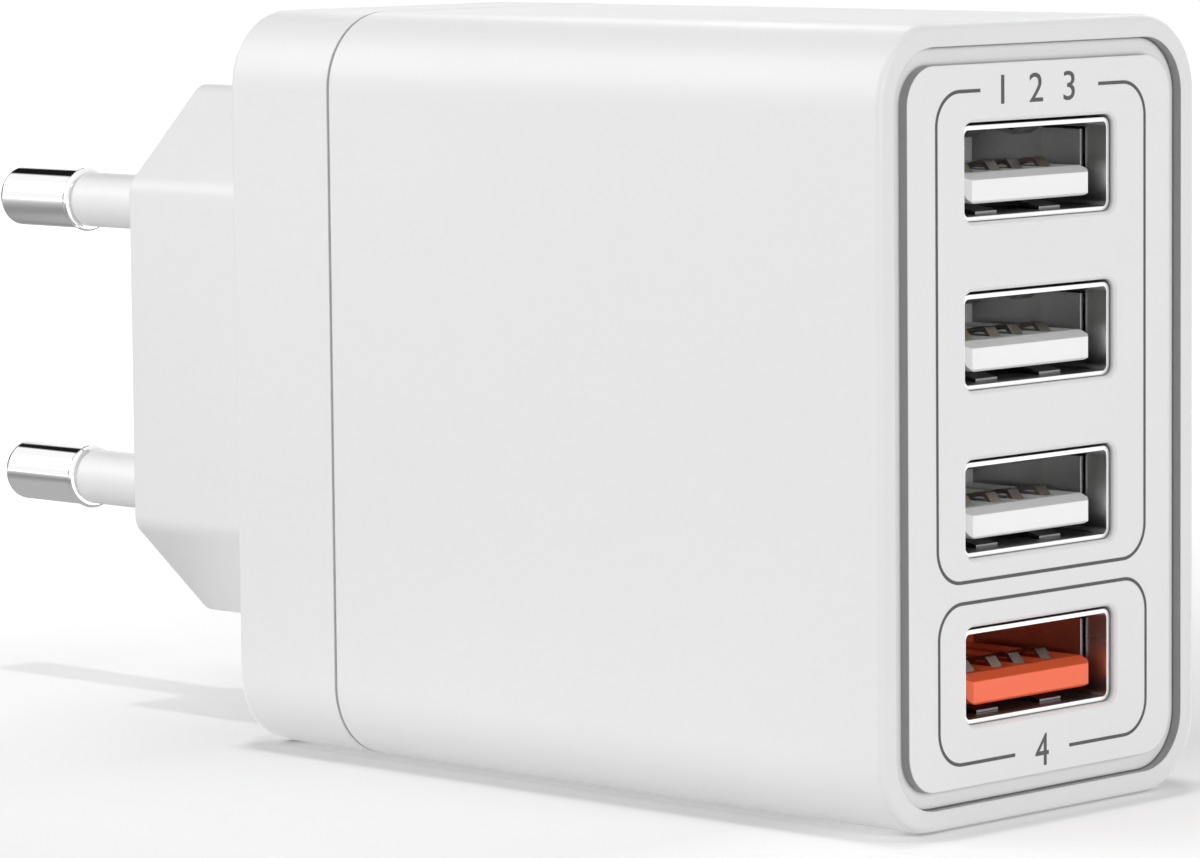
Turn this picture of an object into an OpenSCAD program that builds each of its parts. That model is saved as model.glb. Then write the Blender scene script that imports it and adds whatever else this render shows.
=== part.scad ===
// Wall charger with a two-pin plug and four stacked USB sockets.
// +X runs from the wall out to the sockets, +Z is up, and the origin is the middle of the
// plug's contact face, halfway between the pins.

/* [Plug] */
// Width of the plug base across its flat sides
plug_w = 14; // [13.4:0.1:14.4]
// Height of the plug base over its two points
plug_h = 35.3; // [35:0.1:36]
// Depth of the plug base, from the contact face to the casing
plug_depth = 18; // [17.5:0.5:20]
// Distance between the axes of the pins
pin_pitch = 19; // [18.6:0.1:19.2]
// Diameter of the bare metal tips
pin_d = 4; // [3.9:0.05:4.1]
// Length of the pins from the contact face
pin_length = 19.5; // [18.5:0.5:20]
// Length of the insulating sleeves outside the plug base
sleeve_length = 12; // [10:0.5:13]
// Diameter of the insulating sleeves
sleeve_d = 3.7; // [3.6:0.05:3.8]

/* [Casing] */
// Depth of the casing, from its back face to the front rim
body_depth = 54.3; // [54:0.1:60]
// Width of the casing
body_w = 28.4; // [28:0.1:30]
// Height of the casing
body_h = 46.5; // [46.3:0.1:50]
// How far the middle of the casing lies below the pins' middle
body_drop = 0.15; // [0:0.05:1]
// Radius of the four long edges
edge_r = 4.7; // [4:0.1:6]
// Small rounding round the front rim and round the back face
rim_round = 0.4; // [0.2:0.05:0.5]
// Thickness of the casing walls
wall = 1.8; // [1.6:0.1:2]
// Depth of the rear cover in front of the plug base
cover_depth = 9; // [8:0.5:10]
// Width of the shadow gap between the rear cover and the housing
seam_gap = 0.2; // [0.1:0.05:0.3]

/* [Front panel] */
// Width of the front rim
rim_w = 1.35; // [1.2:0.05:1.5]
// Width of the groove between the rim and the panel
groove_w = 1.05; // [0.8:0.05:1.2]
// Depth of that groove
groove_depth = 0.6; // [0.4:0.05:0.8]
// Thickness of the panel's flange behind the groove
flange_t = 1.4; // [1.2:0.1:1.6]

/* [Sockets] */
// Distance between the middles of the sockets
port_pitch = 9.7; // [9.5:0.05:9.8]
// Outer width of a socket's metal shell
shell_w = 13.3; // [13.1:0.05:13.4]
// Outer height of a socket's metal shell
shell_h = 5.5; // [5.45:0.05:5.7]
// Sheet thickness of the shells
shell_t = 0.26; // [0.2:0.01:0.3]
// How far the shells lie behind the panel's face
shell_inset = 0.4; // [0.2:0.05:0.6]
// Gap in the panel's cut-out at each side of a shell
shell_gap = 0.08; // [0.05:0.01:0.15]
// Gap in the panel's cut-out above a shell
shell_gap_above = 0.19; // [0.1:0.01:0.25]

/* [Hidden] */
$fn = 64;
eps = 0.01;
ports = 4;

// Places along X
cover_x = plug_depth;
seam_x = plug_depth + cover_depth;
front_x = plug_depth + body_depth;
// The floor of the front groove, and the back of the panel's flange
groove_x = front_x - groove_depth;
flange_x = groove_x - flange_t;
// The ledge that the flange seats on
ledge_t = 1.5;
ledge_w = 1.65;
ledge_x = flange_x - ledge_t;
// Clearance round the panel's flange, and the snap arms behind it
panel_gap = 0.05;
arm_gap = 0.1;
arm_t = 1;
arm_w = 4;
hook_h = 0.6;
hook_land = 0.4;
hook_l = 1.4;
// Inside of the casing
cavity_w = body_w - 2 * wall;
cavity_h = body_h - 2 * wall;
cavity_r = edge_r - wall;
back_t = 2;
back_x = cover_x + back_t;
// The cover's locating lip, and the snap ridges on it
lip_gap = 0.1;
lip_t = 1.2;
lip_reach = 3;
lip_root = 0.3;
snap_w = 6;
snap_h = 0.3;
snap_y = 6;
snap_x = 0.9;
// The step of the housing that closes the bottom of the shadow gap
step_margin = 0.7;
// Printed circuit boards
board_t = 1.6;
board_y = body_w / 2 - wall - 3.8;
board_x = back_x + 1;
port_board_x = flange_x - 14.1;
rail_h = 1.6;
rail_t = 1;
rail_x = seam_x + lip_reach + 1;
rib_w = 1.2;
rib_z = [-19.4, 0, 19.4];
foot_h = 3;
foot_margin = 0.8;
foot_z = [-15, 12];
tab_w = 4;
tab_z = [-14, 0, 14];
// The plug base's hollow
plug_face_t = 3.5;
plug_wall = 1.8;
plug_r = 1.5;
plug_rib_t = 1.2;
// The pins' necks behind the bare tips
neck_d = 3;
collar_d = 5.2;
collar_t = 1.2;
tail_d = 2.6;
tail_x = 9;
sleeve_seat = 1.5;
running_gap = 0.02;
// The sockets' inner parts
shell_r = 0.6;
shell_x = port_board_x + board_t;
mouth_x = front_x - shell_inset;
shell_gap_below = 0.03;
cutout_bevel = 0.17;
tongue_w = 11.1;
tongue_top = -0.08;
tongue_t = 1.72;
tongue_x = mouth_x - 0.43;
// The slope along the tongue's front top edge, the bevels of its front corners and of its front
// bottom edge, and the radius of its two long bottom edges
slope_l = 0.9;
slope_h = 0.35;
tongue_bevel = 0.35;
tongue_low_bevel = 0.15;
tongue_r = 0.7;
block_depth = 3.7;
contact_y = [-3.5, -1, 1, 3.5];
contact_w = 0.9;
contact_t = 0.25;
contact_slot = 1.05;
slot_depth = 0.35;
slot_end = 1.4;
// Components on the main board: middles in X and Z, counted from the back of the board
fuse_at = [5.5, 15.6];
choke_at = [7.5, -15];
filter_at = [3.3, 0];
bridge_at = [10, 2];
opto_at = [11.8, -7];
input_at = [[15.5, 14.7], [26.3, 14.7]];
output_at = [[21.7, -15.7], [29.9, -15.7]];
safety_at = [15.1, -16];
core_at = [24.4, -1.4];
controller_at = [14, 9];
rectifier_at = [30, -12];
lead_d = 0.6;
lead_hole_d = 0.9;
lead_reach = 0.7;

// Places of the components' leads, counted from their middles
fuse_leads = [[-2.5, 0], [2.5, 0]];
choke_leads = [[-2.5, -2.5], [-2.5, 2.5], [2.5, -2.5], [2.5, 2.5]];
filter_leads = [[0, -5], [0, 5]];
bridge_leads = [for (z = [-3.3, -1.1, 1.1, 3.3]) [0, z]];
opto_leads = [for (x = [-1.27, 1.27], z = [-3.6, 3.6]) [x, z]];
input_leads = [[-2.5, 0], [2.5, 0]];
output_leads = [[-1.75, 0], [1.75, 0]];
safety_leads = [[0, -3], [0, 3]];
core_leads = [for (s = [-1, 1], z = [-6, -3, 0, 3, 6]) [s * 8.5, z]];
// Transformer
core_w = 19.1;
core_l = 16;
core_t = 4.8;
core_y = 1.2;
core_leg = 2.4;
window_l = 11.2;
bobbin_bore = 5;
bobbin_tube = 6.4;
bobbin_l = 11;
// Common-mode choke
choke_inner = 2.6;
choke_outer = 4.2;
choke_half = 1.8;
choke_wire = 0.6;
choke_y = board_y - choke_half - choke_wire;

// Height of the middle of socket number i
function port_z(i) = -body_drop + ((ports - 1) / 2 - i) * port_pitch;

// A section in Y and Z, drawn from x0 to x1
module along_x(x0, x1) {
    translate([x0, 0, 0])
        rotate([90, 0, 90])
            linear_extrude(x1 - x0) children();
}

// A profile in X and Z, drawn w wide about y
module across_y(y, w) {
    translate([0, y + w / 2, 0])
        rotate([90, 0, 0])
            linear_extrude(w) children();
}

// A box from one corner to the other
module box(low, high) {
    translate(low) cube(high - low);
}

module rounded(w, h, r) {
    square([w - 2 * r, h], center = true);
    square([w, h - 2 * r], center = true);
    for (sy = [-1, 1], sz = [-1, 1])
        translate([sy * (w / 2 - r), sz * (h / 2 - r)]) circle(r);
}

// The casing's cross-section, drawn in by a margin on every side
module body_section(margin) {
    translate([0, -body_drop])
        rounded(body_w - 2 * margin, body_h - 2 * margin, max(edge_r - margin, 0.5));
}

// A convex outline with its corners rounded: the points are the middles of the corners
module rounded_outline(points, r) {
    count = len(points);
    polygon(points);
    for (i = [0 : count - 1]) {
        a = points[i];
        b = points[(i + 1) % count];
        out = [b[1] - a[1], a[0] - b[0]] * r / norm(b - a);
        polygon([a, a + out, b + out, b]);
        translate(a) circle(r);
    }
}

// The plug base's outline: flat sides, and two 45 degree slopes to a rounded point at each end
module plug_section(margin, r) {
    apex = plug_h / 2 + plug_r * (sqrt(2) - 1) - (margin + r) * sqrt(2);
    side = plug_w / 2 - margin - r;
    rounded_outline([
        [side, side - apex], [side, apex - side], [0, apex],
        [-side, apex - side], [-side, side - apex], [0, -apex]
    ], r);
}

// A rectangle from 0 to depth with the two corners at 0 rounded
module rounded_end(depth, h) {
    r = rim_round;
    translate([r, -h / 2]) square([depth - r, h]);
    translate([0, r - h / 2]) square([depth, h - 2 * r]);
    for (s = [-1, 1])
        translate([r, s * (h / 2 - r)]) circle(r);
}

// A block of the casing's section from 0 to depth along X, rounded round its end at 0
module casing_block(depth) {
    r = rim_round;
    straight_w = body_w - 2 * edge_r;
    straight_h = body_h - 2 * edge_r;
    translate([0, 0, -body_drop]) {
        across_y(0, straight_w) rounded_end(depth, body_h);
        linear_extrude(straight_h, center = true) rounded_end(depth, body_w);
        for (corner = [[1, -1], [1, 1], [-1, 1], [-1, -1]]) {
            quarter = corner[0] > 0 ? (corner[1] + 1) / 2 : (5 - corner[1]) / 2;
            translate([0, corner[0] * straight_w / 2, corner[1] * straight_h / 2])
                rotate([0, 90, 0]) rotate(90 * quarter)
                    rotate_extrude(angle = 90) {
                        translate([0, r]) square([edge_r, depth - r]);
                        square([edge_r - r, depth]);
                        translate([edge_r - r, r]) circle(r);
                    }
        }
    }
}

// Four places round the casing where the cover snaps in: above and below, left and right
module at_snaps() {
    for (s = [-1, 1], y = [-snap_y, snap_y])
        translate([0, y, -body_drop + s * (cavity_h / 2 - lip_gap)])
            mirror([0, 0, s < 0 ? 1 : 0]) children();
}

module rear_cover() {
    end_x = seam_x - seam_gap / 2;
    color("whitesmoke") difference() {
        union() {
            // plug base
            along_x(0, cover_x + eps) plug_section(0, plug_r);
            // cup with a rounded back edge
            difference() {
                translate([cover_x, 0, 0]) casing_block(end_x - cover_x);
                along_x(back_x, end_x + eps) body_section(wall);
            }
            // lip that slides into the housing, with its snap ridges
            difference() {
                union() {
                    along_x(end_x - lip_reach, end_x) body_section(wall - lip_root);
                    along_x(end_x, seam_x + lip_reach) body_section(wall + lip_gap);
                }
                along_x(end_x - lip_reach - eps, seam_x + lip_reach + eps)
                    body_section(wall + lip_gap + lip_t);
            }
            at_snaps() translate([seam_x + snap_x, 0, 0]) across_y(0, snap_w)
                polygon([
                    [0, -0.5], [0, 0], [0.3, lip_gap + snap_h], [0.7, lip_gap + snap_h],
                    [1.7, 0], [1.7, -0.5]
                ]);
            // two feet that press on the edge of the main board
            for (z = foot_z)
                box([back_x - eps, board_y - foot_margin, z],
                    [board_x, board_y + board_t + foot_margin, z + foot_h]);
        }
        // hollow of the plug base
        difference() {
            along_x(plug_face_t, back_x + eps) plug_section(plug_wall, 0.5);
            // rib between the pins
            box([0, -plug_w, -plug_rib_t / 2], [tail_x + 4, plug_w, plug_rib_t / 2]);
        }
        // holes for the pins, with seats for the ends of their sleeves
        for (s = [-1, 1]) translate([0, 0, s * pin_pitch / 2]) rotate([0, 90, 0]) {
            translate([0, 0, -1]) cylinder(d = neck_d, h = plug_face_t + 2);
            translate([0, 0, -1]) cylinder(d = sleeve_d + 2 * running_gap, h = sleeve_seat + 1);
        }
    }
}

module main_housing() {
    start_x = seam_x + seam_gap / 2;
    color("whitesmoke") difference() {
        union() {
            difference() {
                union() {
                    translate([front_x, 0, 0]) mirror([1, 0, 0]) casing_block(front_x - start_x);
                    // step that closes the bottom of the shadow gap
                    along_x(seam_x - seam_gap / 2, start_x + eps) body_section(step_margin);
                }
                along_x(seam_x - 1, ledge_x) body_section(wall);
                along_x(ledge_x - eps, flange_x + eps) body_section(rim_w + ledge_w);
                along_x(flange_x, front_x + 1) body_section(rim_w);
            }
            // rails that hold the long edges of the main board
            for (s = [-1, 1], y = [board_y - rail_t, board_y + board_t]) {
                z = -body_drop + s * (cavity_h / 2 - rail_h / 2 + eps);
                translate([rail_x, y, z - rail_h / 2])
                    cube([port_board_x - rail_x, rail_t, rail_h]);
            }
            // ribs along the sides: their ends stop the port board
            for (s = [-1, 1], z = rib_z)
                translate([shell_x, s * (cavity_w / 2 - rib_w / 2 + eps), z - body_drop])
                    translate([0, -rib_w / 2, -rib_w / 2])
                        cube([ledge_x - shell_x + eps, rib_w, rib_w]);
        }
        // recesses for the cover's snap ridges
        at_snaps()
            translate([seam_x + snap_x - 0.1, -snap_w / 2 - 0.2, 0])
                cube([1.9, snap_w + 0.4, lip_gap + snap_h + 0.1]);
    }
}

module front_panel() {
    hook_y = body_w / 2 - rim_w - ledge_w - arm_gap;
    color("whitesmoke") difference() {
        union() {
            along_x(groove_x - eps, front_x) body_section(rim_w + groove_w);
            along_x(flange_x, groove_x) body_section(rim_w + panel_gap);
            // snap arms that reach past the ledge and hook behind it
            for (s = [-1, 1], z = [-1, 1] * port_pitch)
                translate([0, 0, z - body_drop]) mirror([0, s < 0 ? 1 : 0, 0])
                    linear_extrude(arm_w, center = true)
                        polygon([
                            [flange_x + eps, hook_y - arm_t], [flange_x + eps, hook_y],
                            [ledge_x, hook_y], [ledge_x, hook_y + hook_h],
                            [ledge_x - hook_land, hook_y + hook_h], [ledge_x - hook_l, hook_y],
                            [ledge_x - hook_l, hook_y - arm_t]
                        ]);
        }
        for (i = [0 : ports - 1])
            translate([0, 0, port_z(i) + (shell_gap_above - shell_gap_below) / 2]) cutout();
    }
}

// The panel's cut-out for a shell, with a bevel round its front edge
module cutout() {
    r = shell_r + shell_gap;
    c = cutout_bevel;
    half_w = shell_w / 2 + shell_gap;
    half_h = (shell_h + shell_gap_above + shell_gap_below) / 2;
    along_x(flange_x - 1, front_x + 1) rounded(2 * half_w, 2 * half_h, r);
    across_y(0, 2 * (half_w - r)) bevel_section(half_h, c);
    linear_extrude(2 * (half_h - r), center = true) bevel_section(half_w, c);
    for (s = [-1, 1], t = [-1, 1])
        translate([front_x - c, s * (half_w - r), t * (half_h - r)]) rotate([0, 90, 0])
            cylinder(r1 = r, r2 = r + 2 * c, h = 2 * c);
}

// The section of that bevel: half is half the size of the cut-out
module bevel_section(half, c) {
    x = front_x - c;
    polygon([[x, -half], [x, half], [x + 2 * c, half + 2 * c], [x + 2 * c, -half - 2 * c]]);
}

// One pin: side is 1 above and -1 below
module pin(side) {
    r = pin_d / 2;
    tip_r = 0.5;
    bead_r = 0.35;
    bead_mid_r = r - 0.17;
    shoulder = pin_length - sleeve_length;
    color("silver") translate([-pin_length, 0, side * pin_pitch / 2]) rotate([0, 90, 0]) {
        // rounded tip
        cylinder(r = r - tip_r, h = tip_r + eps);
        translate([0, 0, tip_r]) rotate_extrude() translate([r - tip_r, 0]) circle(tip_r);
        translate([0, 0, tip_r]) cylinder(r = r, h = shoulder - bead_r - tip_r);
        // bead round the end of the bare part
        translate([0, 0, tip_r]) cylinder(r = bead_mid_r, h = shoulder - tip_r);
        translate([0, 0, shoulder - bead_r])
            rotate_extrude() translate([bead_mid_r, 0]) circle(bead_r);
        // neck through the sleeve and the contact face, collar behind it, and tail
        translate([0, 0, tip_r])
            cylinder(d = neck_d - 2 * running_gap, h = pin_length - tip_r + plug_face_t + eps);
        translate([0, 0, pin_length + plug_face_t]) cylinder(d = collar_d, h = collar_t);
        translate([0, 0, pin_length + plug_face_t]) cylinder(d = tail_d, h = tail_x - plug_face_t);
    }
}

module sleeve(side) {
    color("white") translate([-sleeve_length, 0, side * pin_pitch / 2]) rotate([0, 90, 0])
        difference() {
            cylinder(d = sleeve_d, h = sleeve_length + sleeve_seat);
            translate([0, 0, -1]) cylinder(d = neck_d, h = sleeve_length + sleeve_seat + 2);
        }
}

// A folded strip from a pin's tail to the main board
module contact(side) {
    t = 0.4;
    y0 = 3.2;
    land_x = board_x + 1;
    foot = 2.5;
    color("goldenrod") translate([0, 0, side * pin_pitch / 2])
        linear_extrude(3, center = true)
            polygon([
                [tail_x, -1.4], [tail_x + t, -1.4], [tail_x + t, y0 - t], [land_x - 0.6, y0 - t],
                [land_x + t, y0 + 0.6], [land_x + t, board_y - t], [land_x + foot, board_y - t],
                [land_x + foot, board_y], [land_x, board_y], [land_x, y0 + 0.9],
                [land_x - 0.8, y0], [tail_x, y0]
            ]);
}

// Leads that go through the main board, at places counted from the component's middle
module leads(places, top) {
    for (p = places)
        translate([p[0], top, p[1]]) rotate([-90, 0, 0])
            cylinder(d = lead_d, h = board_y + board_t + lead_reach - top, $fn = 24);
}

// Puts a component on the main board's face
module on_board(at) {
    translate([board_x + at[0], 0, at[1] - body_drop]) children();
}

// A can with its axis square to the board
module standing_can(d, h) {
    translate([0, board_y, 0]) rotate([90, 0, 0]) {
        difference() {
            cylinder(d = d, h = h);
            // crimp groove round the foot, and pressed vent on the top
            translate([0, 0, 1.2]) difference() {
                cylinder(d = d + 1, h = 0.8);
                translate([0, 0, -1]) cylinder(d = d - 0.8, h = 3);
            }
            for (a = [0, 90])
                rotate(a) translate([-d / 3, -0.2, h - 0.3]) cube([2 * d / 3, 0.4, 1]);
        }
    }
}

module main_board() {
    half = cavity_h / 2 - 0.1;
    narrow = cavity_h / 2 - lip_gap - lip_t - 0.3;
    color("darkgreen") difference() {
        translate([0, board_y + board_t, -body_drop]) rotate([90, 0, 0]) linear_extrude(board_t) {
            translate([board_x, -narrow]) square([rail_x - board_x, 2 * narrow]);
            translate([rail_x - eps, -half]) square([port_board_x - rail_x + eps, 2 * half]);
            for (z = tab_z)
                translate([port_board_x - eps, z - tab_w / 2]) square([board_t + 0.6, tab_w]);
        }
        board_holes(fuse_at, fuse_leads);
        board_holes(choke_at, choke_leads);
        board_holes(filter_at, filter_leads);
        board_holes(bridge_at, bridge_leads);
        board_holes(opto_at, opto_leads);
        for (at = input_at) board_holes(at, input_leads);
        for (at = output_at) board_holes(at, output_leads);
        board_holes(safety_at, safety_leads);
        board_holes(core_at, core_leads);
    }
}

module board_holes(at, places) {
    on_board(at)
        for (p = places)
            translate([p[0], board_y - 1, p[1]]) rotate([-90, 0, 0])
                cylinder(d = lead_hole_d, h = board_t + 2, $fn = 24);
}

module port_board() {
    margin = 0.15;
    color("darkgreen") difference() {
        along_x(port_board_x, shell_x) body_section(wall + margin);
        // slots for the main board's tabs
        for (z = tab_z)
            box([port_board_x - 1, board_y - 0.05, z - body_drop - tab_w / 2 - 0.1],
                [shell_x + 1, board_y + board_t + 0.05, z - body_drop + tab_w / 2 + 0.1]);
        for (i = [0 : ports - 1]) translate([0, 0, port_z(i)]) {
            // slots for the shell's feet, and holes for the contacts' tails
            for (s = [-1, 1])
                box([port_board_x - 1, s * (shell_w - shell_t) / 2 - 0.25, -1.1],
                    [shell_x + 1, s * (shell_w - shell_t) / 2 + 0.25, 1.1]);
            for (y = contact_y)
                box([port_board_x - 1, y - 0.55, tongue_top - slot_depth - 0.1],
                    [shell_x + 1, y + 0.55, tongue_top - slot_depth + contact_t + 0.1]);
        }
    }
}

// A V-shaped spring finger in the wall of a shell: level is 1 for the top wall, -1 for the bottom
module finger(y, level, w, dip, reach) {
    root_x = mouth_x - 6.6;
    low_x = mouth_x - 3.2;
    end_x = mouth_x - reach;
    top = shell_h / 2;
    mirror([0, 0, level < 0 ? 1 : 0]) across_y(y, w)
        polygon([
            [root_x - 0.1, top - shell_t], [root_x - 0.1, top], [root_x, top],
            [low_x, top - dip], [end_x, top - 0.15], [end_x, top - 0.15 - shell_t],
            [low_x, top - dip - shell_t], [root_x, top - shell_t]
        ]);
}

// A spring tab in the side wall of a shell, which leans in towards its free end
module side_tab(x, z) {
    outer = shell_w / 2;
    lean = 0.3;
    translate([0, 0, z[0]]) linear_extrude(z[1] - z[0])
        polygon([
            [x[0] - 0.1, outer - shell_t], [x[0] - 0.1, outer], [x[0], outer],
            [x[1], outer - lean], [x[1], outer - lean - shell_t], [x[0], outer - shell_t]
        ]);
}

// A socket's shell: a folded tube of sheet with spring fingers, side tabs and two feet
module usb_shell(i) {
    top_y = 2.4;
    bottom_y = 2.85;
    window_w = 2.3;
    window_x = mouth_x - 6.6;
    top_reach = 2.2;
    bottom_reach = 1.4;
    slit = 0.3;
    side_x = [mouth_x - 5, mouth_x - 1.75];
    side_z = [-1.6, 2];
    side_slit = 0.15;
    foot_reach = 0.9;
    foot_w = 1.8;
    color("lightgray") translate([0, 0, port_z(i)]) {
        difference() {
            along_x(shell_x, mouth_x) rounded(shell_w, shell_h, shell_r);
            along_x(shell_x - 1, mouth_x + 1)
                rounded(shell_w - 2 * shell_t, shell_h - 2 * shell_t, shell_r - shell_t);
            // slits round the fingers
            for (s = [-1, 1]) {
                box([window_x, s * top_y - window_w / 2, 1],
                    [mouth_x - top_reach + slit, s * top_y + window_w / 2, shell_h]);
                box([window_x, s * bottom_y - window_w / 2, -shell_h],
                    [mouth_x - bottom_reach + slit / 2, s * bottom_y + window_w / 2, -1]);
            }
            // slits round the side tabs
            box([side_x[0], -shell_w, side_z[0] - side_slit],
                [side_x[1] + side_slit, shell_w, side_z[1] + side_slit]);
        }
        for (s = [-1, 1]) {
            finger(s * top_y, 1, 1.6, 0.65, top_reach);
            finger(s * bottom_y, -1, 1.9, 0.5, bottom_reach);
            mirror([0, s < 0 ? 1 : 0, 0]) side_tab(side_x, side_z);
            box([port_board_x - foot_reach, s * (shell_w - shell_t) / 2 - shell_t / 2, -foot_w / 2],
                [shell_x + 0.5, s * (shell_w - shell_t) / 2 + shell_t / 2, foot_w / 2]);
        }
    }
}

// A socket's insulator: the block at the back of the shell, and the tongue
module usb_tongue(i) {
    inner_w = shell_w - 2 * shell_t;
    inner_h = shell_h - 2 * shell_t;
    block_x = shell_x + block_depth;
    low = tongue_top - tongue_t;
    low_bevel = tongue_low_bevel;
    bevel = tongue_bevel;
    color(i < ports - 1 ? "white" : "orangered") translate([0, 0, port_z(i)]) difference() {
        union() {
            along_x(shell_x, block_x) rounded(inner_w, inner_h, shell_r);
            // tongue: its front edges are bevelled, with a longer slope along the top, and its
            // two lower edges are rounded
            intersection() {
                along_x(block_x - 1, tongue_x + 1) {
                    translate([-tongue_w / 2, low + tongue_r]) square([tongue_w, tongue_t]);
                    translate([tongue_r - tongue_w / 2, low])
                        square([tongue_w - 2 * tongue_r, tongue_t]);
                    for (s = [-1, 1])
                        translate([s * (tongue_w / 2 - tongue_r), low + tongue_r])
                            circle(tongue_r);
                }
                across_y(0, tongue_w)
                    polygon([
                        [block_x - eps, low], [block_x - eps, tongue_top],
                        [tongue_x - slope_l, tongue_top], [tongue_x, tongue_top - slope_h],
                        [tongue_x, low + low_bevel], [tongue_x - low_bevel, low]
                    ]);
                linear_extrude(2 * shell_h, center = true)
                    polygon([
                        [block_x - 1, -tongue_w / 2], [block_x - 1, tongue_w / 2],
                        [tongue_x - bevel, tongue_w / 2], [tongue_x, tongue_w / 2 - bevel],
                        [tongue_x, bevel - tongue_w / 2], [tongue_x - bevel, -tongue_w / 2]
                    ]);
            }
        }
        for (y = contact_y) {
            // groove along the top of the tongue, and slot through the block
            box([block_x - eps, y - contact_slot / 2, tongue_top - slot_depth],
                [tongue_x - slot_end, y + contact_slot / 2, tongue_top + 1]);
            box([shell_x - 1, y - contact_slot / 2, tongue_top - slot_depth],
                [block_x, y + contact_slot / 2, tongue_top - slot_depth + contact_t + 0.05]);
        }
    }
}

// The four spring contacts of a socket
module usb_contacts(i) {
    floor_z = tongue_top - slot_depth;
    top_z = floor_z + contact_t;
    rise = 0.6;
    tail_end = port_board_x - 0.8;
    // Where the contact leaves its groove, its hump, and where it dips into the groove again
    start_x = tongue_x - 5.6;
    hump_x = [tongue_x - 3, tongue_x - 2.3];
    dip_x = tongue_x - 1.75;
    end_x = tongue_x - slot_end - 0.1;
    color("gold") translate([0, 0, port_z(i)])
        for (y = contact_y)
            across_y(y, contact_w)
                polygon([
                    [tail_end, floor_z], [start_x, floor_z],
                    [hump_x[0] + 0.1, floor_z + rise], [hump_x[1] - 0.1, floor_z + rise],
                    [dip_x - 0.1, floor_z], [end_x, floor_z], [end_x, top_z], [dip_x, top_z],
                    [hump_x[1], top_z + rise], [hump_x[0], top_z + rise],
                    [start_x, top_z], [tail_end, top_z]
                ]);
}

// Transformer: two E-shaped ferrite halves on a moulded bobbin
module transformer_core() {
    color("dimgray") on_board(core_at) translate([0, core_y, 0])
        for (s = [-1, 1]) mirror([s < 0 ? 1 : 0, 0, 0]) difference() {
            translate([0, -core_t / 2, -core_w / 2]) cube([core_l / 2, core_t, core_w]);
            for (t = [-1, 1]) mirror([0, 0, t < 0 ? 1 : 0])
                translate([-1, -core_t, core_leg])
                    cube([window_l / 2 + 1, 2 * core_t, core_w / 2 - 2 * core_leg]);
        }
}

module transformer_bobbin() {
    flange_t = 0.7;
    foot_y = core_y + core_t / 2;
    color("black") on_board(core_at) {
        translate([0, core_y, 0]) difference() {
            union() {
                cube([bobbin_l, bobbin_tube, bobbin_tube], center = true);
                for (s = [-1, 1])
                    translate([s * (bobbin_l - flange_t) / 2, 0, 0])
                        cube([flange_t, 12.4, 13.8], center = true);
            }
            cube([bobbin_l + 1, bobbin_bore, bobbin_bore], center = true);
        }
        // feet under the core, with the pins
        for (s = [-1, 1])
            box([s > 0 ? bobbin_l / 2 - flange_t : -9.5, foot_y, -7.5],
                [s > 0 ? 9.5 : flange_t - bobbin_l / 2, board_y, 7.5]);
        leads(core_leads, board_y - 1);
    }
}

module transformer_winding() {
    length = bobbin_l - 1.5;
    color("gold") on_board(core_at) translate([0, core_y, 0]) difference() {
        along_x(-length / 2, length / 2) rounded(11.2, 12.8, 2);
        cube([length + 1, bobbin_tube, bobbin_tube], center = true);
    }
}

module input_capacitor(i) {
    color("midnightblue") on_board(input_at[i]) {
        standing_can(10, 16);
        leads(input_leads, board_y - 1);
    }
}

module output_capacitor(i) {
    color("silver") on_board(output_at[i]) {
        standing_can(7.9, 11.5);
        leads(output_leads, board_y - 1);
    }
}

module fuse() {
    color("saddlebrown") on_board(fuse_at) {
        translate([0, board_y, 0]) rotate([90, 0, 0]) cylinder(d = 8, h = 7.5);
        leads(fuse_leads, board_y - 1);
    }
}

module filter_capacitor() {
    color("gold") on_board(filter_at) {
        box([-2.5, board_y - 11, -6.5], [2.5, board_y, 6.5]);
        leads(filter_leads, board_y - 1);
    }
}

// Common-mode choke: a ferrite ring that lies on the board with two windings round it
module choke_ring(inner, outer, half) {
    translate([0, choke_y, 0]) rotate([90, 0, 0]) difference() {
        cylinder(r = outer, h = 2 * half, center = true);
        cylinder(r = inner, h = 2 * half + 1, center = true);
    }
}

module choke_core() {
    color("dimgray") on_board(choke_at) choke_ring(choke_inner, choke_outer, choke_half);
}

module choke_winding() {
    color("peru") on_board(choke_at) {
        for (s = [-1, 1]) difference() {
            intersection() {
                choke_ring(choke_inner - choke_wire, choke_outer + choke_wire, choke_half + choke_wire);
                translate([s * 5.8, choke_y, 0]) cube([10, 10, 10], center = true);
            }
            choke_ring(choke_inner - running_gap, choke_outer + running_gap, choke_half);
        }
        leads(choke_leads, choke_y + choke_half + 0.1);
    }
}

module bridge_rectifier() {
    color("black") on_board(bridge_at) {
        box([-1.8, board_y - 8, -4.4], [1.8, board_y - 0.8, 4.4]);
        leads(bridge_leads, board_y - 1.5);
        for (p = bridge_leads)
            box([-0.6, board_y - 1, p[1] - 0.6], [0.6, board_y, p[1] + 0.6]);
    }
}

module safety_capacitor() {
    color("steelblue") on_board(safety_at) {
        translate([0, board_y - 4.6, 0]) rotate([0, 90, 0])
            cylinder(d = 8, h = 3.2, center = true);
        for (p = safety_leads)
            box([-0.5, board_y - 3, p[1] - 0.5], [0.5, board_y, p[1] + 0.5]);
        leads(safety_leads, board_y - 1);
    }
}

module optocoupler() {
    color("white") on_board(opto_at) {
        box([-2.3, board_y - 4, -3.2], [2.3, board_y - 0.5, 3.2]);
        for (p = opto_leads)
            box([p[0] - 0.4, board_y - 2.4, min(p[1], sign(p[1]) * 3.1)],
                [p[0] + 0.4, board_y, max(p[1], sign(p[1]) * 3.1) + 0.3]);
        leads(opto_leads, board_y - 1);
    }
}

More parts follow.
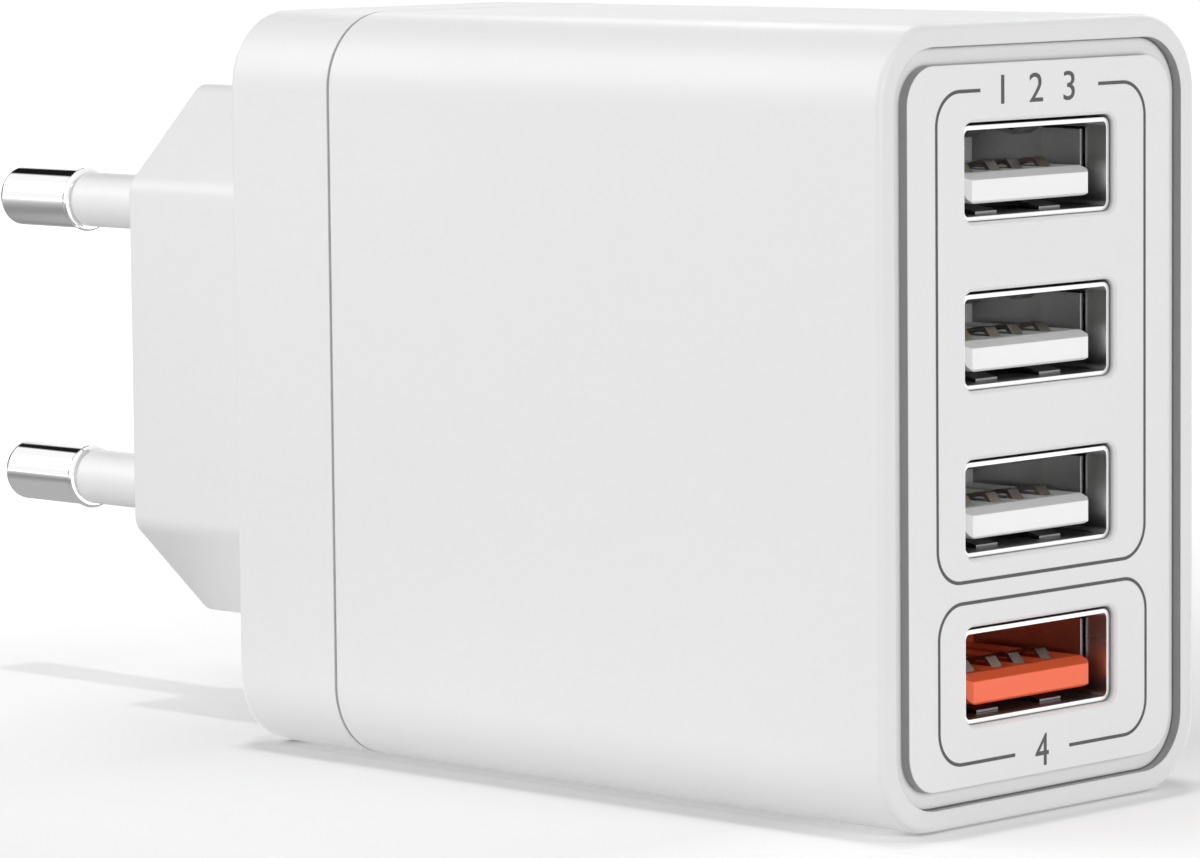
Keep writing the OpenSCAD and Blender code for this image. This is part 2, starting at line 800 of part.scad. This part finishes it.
// An eight-lead chip that lies in the XY plane, standing up in Z from 0
module chip() {
    body_l = 4.9;
    body_b = 3.9;
    translate([-body_l / 2, -body_b / 2, 0.15]) cube([body_l, body_b, 1.35]);
    for (s = [-1, 1], n = [-1.5 : 1 : 1.5])
        mirror([0, s < 0 ? 1 : 0, 0])
            translate([n * 1.27 - 0.2, 0, 0]) rotate([90, 0, 90]) linear_extrude(0.4)
                polygon([
                    [body_b / 2 - 0.2, 0.7], [2.3, 0.7], [2.45, 0], [3, 0], [3, 0.2],
                    [2.6, 0.2], [2.45, 0.9], [body_b / 2 - 0.2, 0.9]
                ]);
}

module chip_on_back(at) {
    on_board(at) translate([0, board_y + board_t, 0]) rotate([-90, 0, 0]) chip();
}

module power_controller() {
    color("black") chip_on_back(controller_at);
}

module output_rectifier() {
    color("black") chip_on_back(rectifier_at);
}

module port_controllers() {
    color("black")
        for (s = [-1, 1])
            translate([port_board_x, -8.5, s * port_pitch - body_drop]) rotate([0, -90, 0]) chip();
}

rear_cover();
main_housing();
front_panel();
pin(1);  // pin_live
pin(-1);  // pin_neutral
sleeve(1);  // sleeve_live
sleeve(-1);  // sleeve_neutral
contact(1);  // contact_live
contact(-1);  // contact_neutral
main_board();
port_board();
usb_shell(0);  // usb_shell_1
usb_shell(1);  // usb_shell_2
usb_shell(2);  // usb_shell_3
usb_shell(3);  // usb_shell_4
usb_tongue(0);  // usb_tongue_1
usb_tongue(1);  // usb_tongue_2
usb_tongue(2);  // usb_tongue_3
usb_tongue(3);  // usb_tongue_4
usb_contacts(0);  // usb_contacts_1
usb_contacts(1);  // usb_contacts_2
usb_contacts(2);  // usb_contacts_3
usb_contacts(3);  // usb_contacts_4
transformer_core();
transformer_bobbin();
transformer_winding();
input_capacitor(0);  // input_capacitor_1
input_capacitor(1);  // input_capacitor_2
output_capacitor(0);  // output_capacitor_1
output_capacitor(1);  // output_capacitor_2
fuse();
filter_capacitor();
choke_core();
choke_winding();
bridge_rectifier();
safety_capacitor();
optocoupler();
power_controller();
output_rectifier();
port_controllers();
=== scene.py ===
"""A wall charger with four stacked USB sockets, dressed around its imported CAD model."""

import math

import bpy
from mathutils import Matrix, Vector


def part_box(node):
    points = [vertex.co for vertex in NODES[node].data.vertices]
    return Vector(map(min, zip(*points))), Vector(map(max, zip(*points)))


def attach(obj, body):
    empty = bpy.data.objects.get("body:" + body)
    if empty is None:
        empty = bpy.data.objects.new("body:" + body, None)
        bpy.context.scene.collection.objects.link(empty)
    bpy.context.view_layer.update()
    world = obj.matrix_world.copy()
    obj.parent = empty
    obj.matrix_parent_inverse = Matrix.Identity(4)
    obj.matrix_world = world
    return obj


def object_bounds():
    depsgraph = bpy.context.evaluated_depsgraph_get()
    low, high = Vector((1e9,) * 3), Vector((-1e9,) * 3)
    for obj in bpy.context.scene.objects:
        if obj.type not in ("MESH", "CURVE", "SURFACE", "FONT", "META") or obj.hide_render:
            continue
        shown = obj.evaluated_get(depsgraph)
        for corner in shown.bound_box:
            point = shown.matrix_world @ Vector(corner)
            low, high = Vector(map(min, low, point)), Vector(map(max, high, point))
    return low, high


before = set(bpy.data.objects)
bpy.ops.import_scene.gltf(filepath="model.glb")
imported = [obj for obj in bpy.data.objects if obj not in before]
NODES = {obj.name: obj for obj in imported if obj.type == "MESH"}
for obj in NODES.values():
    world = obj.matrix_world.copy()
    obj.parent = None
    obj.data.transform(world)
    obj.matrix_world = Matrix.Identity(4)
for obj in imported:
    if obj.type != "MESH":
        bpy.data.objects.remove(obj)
CAD_LOW, CAD_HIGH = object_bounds()
MM = 0.001

# Camera: fitted to the photograph, looking at the sockets' face and the left side
CAMERA_PLACE = Vector((287.95, -257.11, 34.04)) * MM
CAMERA_AZIMUTH = math.radians(44.386)
CAMERA_ELEVATION = math.radians(5.893)
CAMERA_ROLL = math.radians(-0.551)
CAMERA_LENS = 173.37
SENSOR_WIDTH = 36.0


def make_camera():
    """The photograph's view. Azimuth 0 looks along +Y."""
    data = bpy.data.cameras.new("camera")
    data.sensor_width = SENSOR_WIDTH
    data.lens = CAMERA_LENS
    data.clip_start = 0.01
    data.clip_end = 20
    camera = bpy.data.objects.new("camera", data)
    turn = (
        Matrix.Rotation(CAMERA_AZIMUTH, 4, "Z")
        @ Matrix.Rotation(math.pi / 2 - CAMERA_ELEVATION, 4, "X")
        @ Matrix.Rotation(CAMERA_ROLL, 4, "Z")
    )
    camera.matrix_world = Matrix.Translation(CAMERA_PLACE) @ turn
    bpy.context.scene.collection.objects.link(camera)
    bpy.context.scene.camera = camera


class Nodes:
    """A short way to build a node tree."""

    def __init__(self, tree):
        self.tree = tree
        tree.nodes.clear()

    def add(self, kind, settings=None, **sockets):
        node = self.tree.nodes.new("ShaderNode" + kind)
        for name, value in (settings or {}).items():
            setattr(node, name, value)
        for name, value in sockets.items():
            self.put(node.inputs[name.replace("_", " ")], value)
        return node

    def put(self, socket, value):
        if isinstance(value, bpy.types.NodeSocket):
            self.tree.links.new(value, socket)
        else:
            socket.default_value = value

    def math(self, operation, a, b=0.0, clamp=False):
        node = self.add("Math", {"operation": operation, "use_clamp": clamp})
        self.put(node.inputs[0], a)
        self.put(node.inputs[1], b)
        return node.outputs[0]

    def vector(self, operation, a, b=(0.0, 0.0, 0.0), output="Vector"):
        node = self.add("VectorMath", {"operation": operation})
        self.put(node.inputs[0], a)
        self.put(node.inputs[1], b)
        return node.outputs[output]

    def ramp(self, value, low, high, to_low=0.0, to_high=1.0):
        """value, taken from low..high to to_low..to_high"""
        node = self.add("MapRange", {"clamp": True}, Value=value)
        for name, number in (
            ("From Min", low),
            ("From Max", high),
            ("To Min", to_low),
            ("To Max", to_high),
        ):
            node.inputs[name].default_value = number
        return node.outputs["Result"]

    def mix(self, factor, a, b, blend="MIX"):
        node = self.add("Mix", {"data_type": "RGBA", "blend_type": blend})
        self.put(node.inputs[0], factor)
        self.put(node.inputs[6], a)
        self.put(node.inputs[7], b)
        return node.outputs[2]


def grey(value):
    return (value, value, value, 1)


def material(name):
    made = bpy.data.materials.new(name)
    made.use_nodes = True
    return made, Nodes(made.node_tree)


# Texture sizes, per metre, and how deep the texture is
CLOUD_SCALE = 90.0
CLOUD_SHADE = 0.993
GRAIN_SCALE = 5000.0
GRAIN_STRENGTH = 0.12
GRAIN_DEPTH = 0.02 * MM
STREAK_STRETCH = (60.0, 3000.0, 3000.0)
METAL_SCALE = 900.0
METAL_STRENGTH = 0.05
FINE_DEPTH = 0.01 * MM
ROUGHNESS_SPREAD = 0.03
LEAST_ROUGHNESS = 0.02
NODE_SAMPLES = {"samples": 4}

# The groove between the rim and the front panel, whose walls and corners get painted shade:
# where it starts along X, and its middle line, a rounded rectangle in Y and Z
GROOVE_FROM = 70.5 * MM
GROOVE_BLEND = 0.5 * MM
GROOVE_MIDDLE = (0.0, 0.0, -0.15 * MM)
GROOVE_RADIUS = 2.825 * MM
GROOVE_STRAIGHT = (1.0, 9.5 * MM, 18.55 * MM)
GROOVE_REACH = 0.85 * MM
WALL_SHADE = 0.48
CORNER_REACH = 0.25 * MM
CORNER_SHADE = 0.45


def painted_cavity_shade(n, reach, low, high, darkest):
    """Painted shade: a factor that is 1 on open surfaces and falls to darkest in narrow gaps.
    """
    node = n.add("AmbientOcclusion", NODE_SAMPLES, Distance=reach)
    return n.ramp(node.outputs["AO"], low, high, darkest, 1.0)


def bumps(n, scale, height, distance, normal=None):
    """A fine moulded or blasted texture."""
    where = n.add("TexCoord").outputs["Object"]
    noise = n.add("TexNoise", Vector=where, Scale=scale, Detail=3.0)
    bump = n.add("Bump", Strength=height, Distance=distance, Height=noise.outputs["Fac"])
    if normal is not None:
        n.put(bump.inputs["Normal"], normal)
    return bump.outputs["Normal"]


def finish_surface(n, color, roughness, normal, **sockets):
    shader = n.add("BsdfPrincipled", None, Roughness=roughness)
    n.put(shader.inputs["Base Color"], color)
    n.put(shader.inputs["Normal"], normal)
    for name, value in sockets.items():
        n.put(shader.inputs[name.replace("_", " ")], value)
    n.add("OutputMaterial", Surface=shader.outputs[0])


def groove_walls(n):
    """Where shade is painted: 1 on the walls of the groove round the front panel, and 0
    elsewhere.
    """
    spot = n.add("TexCoord")
    away = n.vector("ABSOLUTE", n.vector("SUBTRACT", spot.outputs["Object"], GROOVE_MIDDLE))
    away = n.vector("MAXIMUM", n.vector("SUBTRACT", away, GROOVE_STRAIGHT), (0.0, 0.0, 0.0))
    out = n.math("SUBTRACT", n.vector("LENGTH", away, output="Value"), GROOVE_RADIUS)
    inside = n.math("LESS_THAN", n.math("ABSOLUTE", out), GROOVE_REACH)
    facing = n.add("SeparateXYZ", Vector=spot.outputs["Normal"]).outputs["X"]
    wall = n.ramp(n.math("ABSOLUTE", facing), 0.35, 0.8, 1.0, 0.0)
    return n.math("MULTIPLY", wall, inside)


def groove_shade(n, base):
    """The base colour with painted shade, darker on the groove's walls and in its corners."""
    where = n.add("TexCoord").outputs["Object"]
    x = n.add("SeparateXYZ", Vector=where).outputs["X"]
    front = n.ramp(x, GROOVE_FROM, GROOVE_FROM + GROOVE_BLEND)
    walls = n.math("MULTIPLY", front, groove_walls(n))
    corners = n.math("SUBTRACT", front, walls, clamp=True)
    dark = painted_cavity_shade(n, CORNER_REACH, 0.5, 0.85, CORNER_SHADE)
    base = n.mix(corners, base, dark, "MULTIPLY")
    return n.mix(walls, base, grey(WALL_SHADE), "MULTIPLY")


def plastic(name, color, roughness=0.35, edge=0.15 * MM, painted_groove_shade=False):
    """Moulded plastic: softened edges, a fine grain and faint clouding."""
    made, n = material(name)
    where = n.add("TexCoord").outputs["Object"]
    cloud = n.add("TexNoise", Vector=where, Scale=CLOUD_SCALE, Detail=2.0).outputs["Fac"]
    clouded = [c * CLOUD_SHADE for c in color[:3]] + [1]
    base = n.mix(n.ramp(cloud, 0.35, 0.65, 0.0, 1.0), color, clouded)
    # Painted shade on the groove's walls and in its corners
    if painted_groove_shade:
        base = groove_shade(n, base)
    low, high = roughness - ROUGHNESS_SPREAD, roughness + ROUGHNESS_SPREAD
    rough = n.ramp(cloud, 0.3, 0.7, low, high)
    bevel = n.add("Bevel", NODE_SAMPLES, Radius=edge).outputs["Normal"]
    normal = bumps(n, GRAIN_SCALE, GRAIN_STRENGTH, GRAIN_DEPTH, bevel)
    finish_surface(n, base, rough, normal)
    return made


def metal(name, color, roughness, edge=0.08 * MM, dark=0.2, reach=1.5 * MM):
    """Plated or drawn metal: softened edges, faint streaks, and painted shade, darker where it
    is enclosed.
    """
    made, n = material(name)
    where = n.add("TexCoord").outputs["Object"]
    stretch = n.add("Mapping", Vector=where, Scale=STREAK_STRETCH).outputs[0]
    lines = n.add("TexNoise", Vector=stretch, Scale=1.0, Detail=4.0).outputs["Fac"]
    # Painted shade: the colour darkens, down to dark, where the metal is enclosed within reach
    base = n.mix(1.0, color, painted_cavity_shade(n, reach, 0.25, 0.9, dark), "MULTIPLY")
    low = max(roughness - ROUGHNESS_SPREAD, LEAST_ROUGHNESS)
    rough = n.ramp(lines, 0.3, 0.7, low, roughness + ROUGHNESS_SPREAD)
    bevel = n.add("Bevel", NODE_SAMPLES, Radius=edge).outputs["Normal"]
    normal = bumps(n, METAL_SCALE, METAL_STRENGTH, FINE_DEPTH, bevel)
    finish_surface(n, base, rough, normal, Metallic=1.0)
    return made


def dress(made, *names):
    for name in names:
        mesh = NODES[name].data
        mesh.materials.clear()
        mesh.materials.append(made)


def numbered(name):
    return [f"{name}_{i}" for i in (1, 2, 3, 4)]


def dress_all():
    dress(plastic("casing_white", grey(0.80), painted_groove_shade=True), "rear_cover", "main_housing")
    dress(plastic("panel_white", grey(0.84), 0.4, painted_groove_shade=True), "front_panel")
    dress(plastic("sleeve_white", grey(0.84), 0.3), "sleeve_live", "sleeve_neutral")
    dress(metal("nickel_plate", grey(0.95), 0.06, dark=0.6), "pin_live", "pin_neutral")
    sheet = metal("socket_sheet", grey(0.86), 0.3, 0.06 * MM, dark=0.3, reach=4 * MM)
    dress(sheet, *numbered("usb_shell"))
    gold = metal("contact_gold", (0.55, 0.50, 0.43, 1), 0.3, 0.03 * MM, reach=3 * MM)
    dress(gold, *numbered("usb_contacts"))
    tongue = plastic("tongue_white", grey(0.97), 0.3, 0.08 * MM)
    dress(tongue, "usb_tongue_1", "usb_tongue_2", "usb_tongue_3")
    orange = plastic("tongue_orange", (1.0, 0.15, 0.05, 1), 0.3, 0.08 * MM)
    dress(orange, "usb_tongue_4")
    dress(metal("brass_strip", (0.78, 0.58, 0.28, 1), 0.25), "contact_live", "contact_neutral")
    dress(plastic("board_green", (0.02, 0.16, 0.06, 1), 0.3), "main_board", "port_board")
    dress(plastic("ferrite_grey", grey(0.05), 0.6), "transformer_core", "choke_core")
    dress(
        plastic("moulding_black", grey(0.03), 0.45),
        "transformer_bobbin",
        "bridge_rectifier",
        "power_controller",
        "output_rectifier",
        "port_controllers",
    )
    dress(plastic("opto_white", grey(0.75), 0.45), "optocoupler")
    dress(plastic("tape_yellow", (0.75, 0.55, 0.05, 1), 0.25), "transformer_winding")
    dress(metal("copper_wire", (0.72, 0.3, 0.12, 1), 0.3), "choke_winding")
    can_sleeve = plastic("sleeve_dark", (0.03, 0.05, 0.15, 1), 0.3)
    dress(can_sleeve, "input_capacitor_1", "input_capacitor_2")
    dress(metal("can_aluminium", grey(0.78), 0.3), "output_capacitor_1", "output_capacitor_2")
    dress(plastic("fuse_brown", (0.18, 0.09, 0.05, 1), 0.45), "fuse")
    dress(plastic("box_yellow", (0.78, 0.55, 0.05, 1), 0.45), "filter_capacitor")
    dress(plastic("disc_blue", (0.05, 0.18, 0.5, 1), 0.4), "safety_capacitor")


# Print on the front panel
INK_WIDTH = 0.2 * MM
INK_THICK = 0.012 * MM
INK_ROUGHNESS = 0.55
INK_SCALE = 6000.0
INK_STRENGTH = 0.1
SPECK_SCALE = 4000.0
FRAME_RADIUS = 2.0 * MM
ARC_STEPS = 12
# Each frame in millimetres: left, right, low, high, the gap's two ends, and gap on top
FRAMES = (
    ((-9.28, 9.43, -9.07, 19.16, -5.43, 5.15), True),
    ((-9.19, 9.53, -19.63, -10.29, -2.49, 2.43), False),
)
# Each number's name, digits, middle, height and width in millimetres
NUMBERS = (
    ("printed_group", "1  2  3", (-0.3, 19.15), 1.7, 6.6),
    ("printed_four", "4", (-0.05, -19.6), 1.9, 1.2),
)


def arc(center, radius, start, end):
    """Points on an arc in the panel's plane, with angles in degrees."""
    return [
        (
            center[0] + radius * math.cos(math.radians(start + (end - start) * i / ARC_STEPS)),
            center[1] + radius * math.sin(math.radians(start + (end - start) * i / ARC_STEPS)),
        )
        for i in range(ARC_STEPS + 1)
    ]


def frame_line(left, right, low, high, gap_left, gap_right, gap_on_top):
    """A rounded frame round a group of sockets, open between gap_left and gap_right."""
    r = FRAME_RADIUS
    far, near = (high, low) if gap_on_top else (low, high)
    sign = 1 if gap_on_top else -1
    points = [(gap_right, far)]
    points += arc((right - r, far - sign * r), r, sign * 90, 0)
    points += arc((right - r, near + sign * r), r, 0, -sign * 90)
    points += arc((left + r, near + sign * r), r, -sign * 90, -sign * 180)
    points += arc((left + r, far - sign * r), r, sign * 180, sign * 90)
    points.append((gap_left, far))
    return points


def ribbon(points, width):
    """The corners of a flat band along a line: one pair for each point."""
    pairs = []
    for i, p in enumerate(points):
        a = Vector(points[max(i - 1, 0)])
        b = Vector(points[min(i + 1, len(points) - 1)])
        along = (b - a).normalized()
        side = Vector((-along.y, along.x)) * width / 2
        pairs.append((Vector(p) + side, Vector(p) - side))
    return pairs


def ink_mesh(name, lines, width, panel_x):
    """Raised ink along each line, as one closed band a hundredth of a millimetre thick."""
    vertices = []
    faces = []
    for line in lines:
        start = len(vertices)
        pairs = ribbon(line, width)
        for left, right in pairs:
            for x in (panel_x, panel_x + INK_THICK):
                vertices.append((x, left.x, left.y))
                vertices.append((x, right.x, right.y))
        for i in range(len(pairs) - 1):
            a = start + 4 * i
            b = a + 4
            faces.append((a + 2, a + 3, b + 3, b + 2))
            faces.append((a, b, b + 1, a + 1))
            faces.append((a, a + 2, b + 2, b))
            faces.append((a + 1, b + 1, b + 3, a + 3))
        last = len(vertices) - 4
        faces.append((start, start + 1, start + 3, start + 2))
        faces.append((last, last + 2, last + 3, last + 1))
    mesh = bpy.data.meshes.new(name)
    mesh.from_pydata(vertices, [], faces)
    mesh.update()
    piece = bpy.data.objects.new(name, mesh)
    bpy.context.scene.collection.objects.link(piece)
    return piece


def ink():
    made, n = material("ink_grey")
    where = n.add("TexCoord").outputs["Object"]
    speck = n.add("TexNoise", Vector=where, Scale=SPECK_SCALE, Detail=3.0).outputs["Fac"]
    base = n.mix(n.ramp(speck, 0.35, 0.7), grey(0.055), grey(0.075))
    finish_surface(n, base, INK_ROUGHNESS, bumps(n, INK_SCALE, INK_STRENGTH, FINE_DEPTH))
    return made


def number_mesh(name, digits, middle, height, width, panel_x):
    """Plain digits in the panel's plane, as thin solid ink, scaled to the height and width."""
    curve = bpy.data.curves.new(name, "FONT")
    curve.body = digits
    curve.extrude = 0.5
    curve.resolution_u = 5
    holder = bpy.data.objects.new(name + "_outline", curve)
    bpy.context.scene.collection.objects.link(holder)
    bpy.context.view_layer.update()
    mesh = bpy.data.meshes.new_from_object(holder)
    bpy.data.objects.remove(holder)
    low = [min(v.co[i] for v in mesh.vertices) for i in range(3)]
    high = [max(v.co[i] for v in mesh.vertices) for i in range(3)]
    for v in mesh.vertices:
        across, up, out = [(v.co[i] - low[i]) / (high[i] - low[i]) for i in range(3)]
        v.co = (
            panel_x + INK_THICK * out,
            middle[0] + width * (across - 0.5),
            middle[1] + height * (up - 0.5),
        )
    mesh.name = name
    mesh.materials.clear()
    piece = bpy.data.objects.new(name, mesh)
    bpy.context.scene.collection.objects.link(piece)
    return piece


def print_panel(look):
    panel_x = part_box("front_panel")[1].x
    lines = [frame_line(*(v * MM for v in sizes), on_top) for sizes, on_top in FRAMES]
    pieces = [ink_mesh("printed_frames", lines, INK_WIDTH, panel_x)]
    for name, digits, (across, up), height, width in NUMBERS:
        middle = (across * MM, up * MM)
        pieces.append(number_mesh(name, digits, middle, height * MM, width * MM, panel_x))
    for piece in pieces:
        piece.data.materials.append(look)
        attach(piece, "root")


# Floor: pale, white to the camera away from the object, and it keeps the object's shadow,
# which is partly cast by the floor's lamp and partly painted by light added round the foot
FLOOR_Z = CAD_LOW[2]
FLOOR_SIZE = 6.0
FLOOR_COLOR = 0.8
FOOT_MIDDLE = (45.15 * MM, 0.0, 0.0)
FOOT_HALF = (24.15 * MM, 9.0 * MM, 1.0)
# Light painted into the floor for the camera: at the foot, where it lightens the contact
# shadow, and more or less between two distances in millimetres, which paints the shadow's edge
# as a step at 5 to 5.8 and whitens the floor further out
FLOOR_PAINTED_LIGHT = 0.54
FLOOR_PAINTED_LIGHTS = (
    (0.7, 2.6, -0.42),
    (2.6, 4.5, -0.12),
    (5.0, 5.8, 0.09),
    (6, 30, 0.09),
    (40, 80, 0.12),
    (80, 250, 0.4),
)
# More painted light along X, in front of the sockets' face and behind the plug, which lightens
# the lamps' shadows there
FLOOR_PAINTED_ENDS = ((62, 73, 0.15), (16, -12, 0.11))
FLOOR_PAINTED_ENDS_WIDTH = (20 * MM, 80 * MM)
# The floor as polished surfaces see it
FLOOR_GLOSSY = 0.9


def make_floor():
    made, n = material("floor_pale")
    path = n.add("LightPath")
    where = n.add("TexCoord").outputs["Object"]
    away = n.vector("ABSOLUTE", n.vector("SUBTRACT", where, FOOT_MIDDLE))
    away = n.vector("MAXIMUM", n.vector("SUBTRACT", away, FOOT_HALF), (0.0, 0.0, 0.0))
    distance = n.vector("LENGTH", away, output="Value")
    # Painted light and shadow: more light by distance from the foot
    painted_light = FLOOR_PAINTED_LIGHT
    for near, far, amount in FLOOR_PAINTED_LIGHTS:
        painted_light = n.math("ADD", n.ramp(distance, near * MM, far * MM, 0.0, amount), painted_light)
    place = n.add("SeparateXYZ", Vector=where).outputs
    aside = n.ramp(n.math("ABSOLUTE", place["Y"]), *FLOOR_PAINTED_ENDS_WIDTH, 1.0, 0.0)
    for start, end, amount in FLOOR_PAINTED_ENDS:
        more = n.ramp(place["X"], start * MM, end * MM, 0.0, amount)
        painted_light = n.math("ADD", n.math("MULTIPLY", more, aside), painted_light)
    polished = n.math(
        "MAXIMUM", path.outputs["Is Glossy Ray"], path.outputs["Is Transmission Ray"]
    )
    strength = n.math(
        "ADD",
        n.math("MULTIPLY", path.outputs["Is Camera Ray"], painted_light),
        n.math("MULTIPLY", polished, FLOOR_GLOSSY),
    )
    diffuse = n.add("BsdfDiffuse", Color=grey(FLOOR_COLOR))
    glow = n.add("Emission", Color=grey(1.0), Strength=strength)
    both = n.add("AddShader")
    n.put(both.inputs[0], diffuse.outputs[0])
    n.put(both.inputs[1], glow.outputs[0])
    n.add("OutputMaterial", Surface=both.outputs[0])
    half = FLOOR_SIZE / 2
    mesh = bpy.data.meshes.new("floor")
    corners = [(-half, -half), (half, -half), (half, half), (-half, half)]
    mesh.from_pydata([(x, y, 0) for x, y in corners], [], [(0, 1, 2, 3)])
    mesh.materials.append(made)
    floor = bpy.data.objects.new("floor", mesh)
    floor.location = (0, 0, FLOOR_Z)
    bpy.context.scene.collection.objects.link(floor)
    return floor


# Light. Each box: azimuth and elevation in degrees, size in metres, watts, and what it lights
WORLD_LIGHT = 0.39
LOOK_AT = Vector((0.03, 0, 0))
BOXES = (
    ("left_box", -143, 32, (0.5, 0.7), 2.4, "all"),
    ("side_box", -105, 22, (0.6, 0.6), 2.85, "all"),
    ("high_box", -100, 60, (0.5, 0.5), 1.3, "object"),
    ("far_box", 100, 25, (0.5, 0.5), 2.2, "object"),
    ("front_box", 2, 12, (0.5, 0.5), 3.8, "all"),
    ("edge_light", 139, 30, (0.12, 0.12), 0.2, "all"),
    ("floor_light", 240, 89.7, (0.03, 0.03), 1.6, "floor"),
)


def toward(azimuth, elevation):
    """The direction at these angles in degrees, azimuth counted from +X toward +Y."""
    a, e = math.radians(azimuth), math.radians(elevation)
    return Vector((math.cos(e) * math.cos(a), math.cos(e) * math.sin(a), math.sin(e)))


def make_world():
    """Even pale surroundings, white where the camera or a polished surface sees them."""
    world = bpy.data.worlds.new("studio")
    world.use_nodes = True
    bpy.context.scene.world = world
    n = Nodes(world.node_tree)
    path = n.add("LightPath")
    seen = n.math("MAXIMUM", path.outputs["Is Camera Ray"], path.outputs["Is Glossy Ray"])
    seen = n.math("MAXIMUM", seen, path.outputs["Is Transmission Ray"])
    strength = n.ramp(seen, 0.0, 1.0, WORLD_LIGHT, 1.0)
    back = n.add("Background", Color=grey(1.0), Strength=strength)
    n.add("OutputWorld", Surface=back.outputs[0])


def area_light(name, azimuth, elevation, size, power):
    """A soft box one metre away that faces the object."""
    data = bpy.data.lights.new(name, "AREA")
    data.shape = "RECTANGLE"
    data.size, data.size_y = size
    data.energy = power
    lamp = bpy.data.objects.new(name, data)
    way = toward(azimuth, elevation)
    lamp.location = LOOK_AT + way
    lamp.rotation_euler = (-way).to_track_quat("-Z", "Y").to_euler()
    bpy.context.scene.collection.objects.link(lamp)
    return lamp


def make_lights(floor):
    """The boxes. One lights the floor alone and two the object alone, which keeps the
    shadow at the foot."""
    groups = {}
    for lit, state in (("floor", "INCLUDE"), ("object", "EXCLUDE")):
        group = bpy.data.collections.new("lit_" + lit)
        group.objects.link(floor)
        group.collection_objects[0].light_linking.link_state = state
        groups[lit] = group
    for name, azimuth, elevation, size, watts, lit in BOXES:
        lamp = area_light(name, azimuth, elevation, size, watts)
        if lit in groups:
            lamp.light_linking.receiver_collection = groups[lit]


def card(name, middle, azimuth, elevation, size, strength):
    """A studio card that only polished surfaces see, facing back along the given direction.
    strength makes its brightness out of its own coordinates in metres."""
    made, n = material(name)
    where = n.add("TexCoord").outputs["Object"]
    glow = n.add("Emission", Color=grey(1.0), Strength=strength(n, where))
    n.add("OutputMaterial", Surface=glow.outputs[0])
    w, h = size[0] / 2, size[1] / 2
    mesh = bpy.data.meshes.new(name)
    mesh.from_pydata([(-w, -h, 0), (w, -h, 0), (w, h, 0), (-w, h, 0)], [], [(0, 1, 2, 3)])
    mesh.materials.append(made)
    piece = bpy.data.objects.new(name, mesh)
    piece.location = middle
    piece.rotation_euler = toward(azimuth, elevation).to_track_quat("Z", "Y").to_euler()
    bpy.context.scene.collection.objects.link(piece)
    piece.visible_camera = False
    piece.visible_diffuse = False
    piece.visible_transmission = False
    piece.visible_shadow = False


def soft_dark(size, fade):
    """Black in the middle, and white along the border of a card, over the width fade."""

    def strength(n, where):
        away = n.vector("ABSOLUTE", where)
        inner = (size[0] / 2 - fade, size[1] / 2 - fade, 1.0)
        out = n.vector("MAXIMUM", n.vector("SUBTRACT", away, inner), (0.0, 0.0, 0.0))
        return n.ramp(n.vector("LENGTH", out, output="Value"), 0.0, fade, 0.01, 1.0)

    return strength


def painted_foot_shadow(n, where):
    """A painted shadow of the floor round the pins, which only polished surfaces see: grey
    near the point under the pins, and white far from it.
    """
    out = n.vector("SUBTRACT", where, (-FLOOR_CARD_BACK, 0.0, 0.0))
    distance = n.vector("LENGTH", out, output="Value")
    near = n.ramp(distance, 28 * MM, 46 * MM, 0.45, 0.30)
    return n.math("ADD", near, n.ramp(distance, 60 * MM, 260 * MM, 0.0, 0.7))


PINS_AT = Vector((-16 * MM, 0, 0))
CARD_FAR = 0.12
DARK_CARDS = (
    ("high_card", 155, 37, (0.065, 0.058), 0.0103),
    ("low_card", 174, 8, (0.13, 0.075), 0.0137),
)
FLOOR_CARD_BACK = 0.125


def make_cards():
    for name, azimuth, elevation, size, fade in DARK_CARDS:
        middle = PINS_AT + CARD_FAR * toward(azimuth, elevation)
        card(name, middle, azimuth, elevation, size, soft_dark(size, fade))
    behind = (PINS_AT.x - FLOOR_CARD_BACK, 0, FLOOR_Z + 1 * MM)
    card("floor_card", behind, 0, 90, (0.27, 0.52), painted_foot_shadow)


def make_scene():
    make_camera()
    make_world()
    make_lights(make_floor())
    make_cards()
    dress_all()
    print_panel(ink())
    bpy.context.scene.view_settings.view_transform = "Standard"


make_scene()
